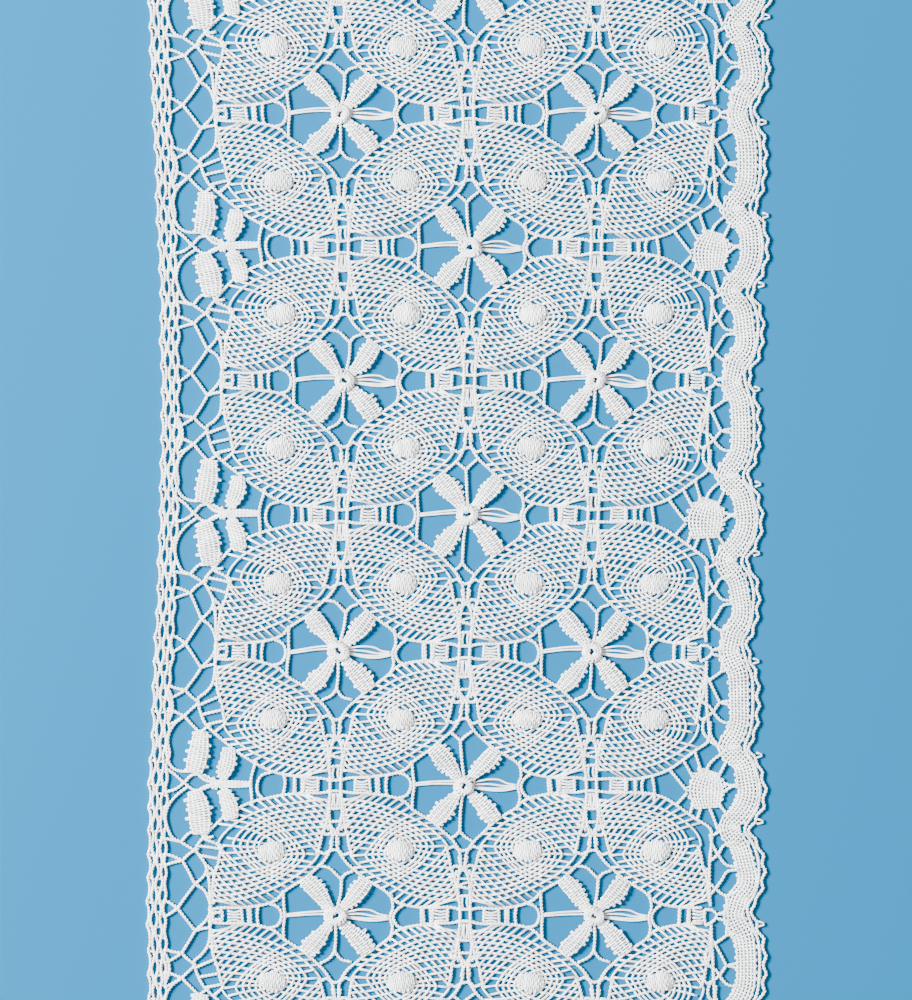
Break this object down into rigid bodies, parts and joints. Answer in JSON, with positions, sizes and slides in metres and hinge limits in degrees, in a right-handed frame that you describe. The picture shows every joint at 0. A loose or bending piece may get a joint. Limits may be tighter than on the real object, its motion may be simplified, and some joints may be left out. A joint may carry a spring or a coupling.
{
  "type": "bobbin lace strip",
  "caption": "Straight strip of white bobbin lace with a plain footside, a scalloped headside with picots, and flower windows between half-stitch leaves.",
  "frame": {"origin": "middle of the strip's box, on its underside", "axes": "+X across the strip from the straight footside to the scalloped headside, +Y along its length, +Z out of its face"},
  "size_m": [0.1256, 0.2138, 0.002],
  "materials": {
    "cotton_thread": "matte bleached cotton thread"
  },
  "bodies": {
    "root": {"lace": "cotton_thread"}
  },
  "joints": []
}
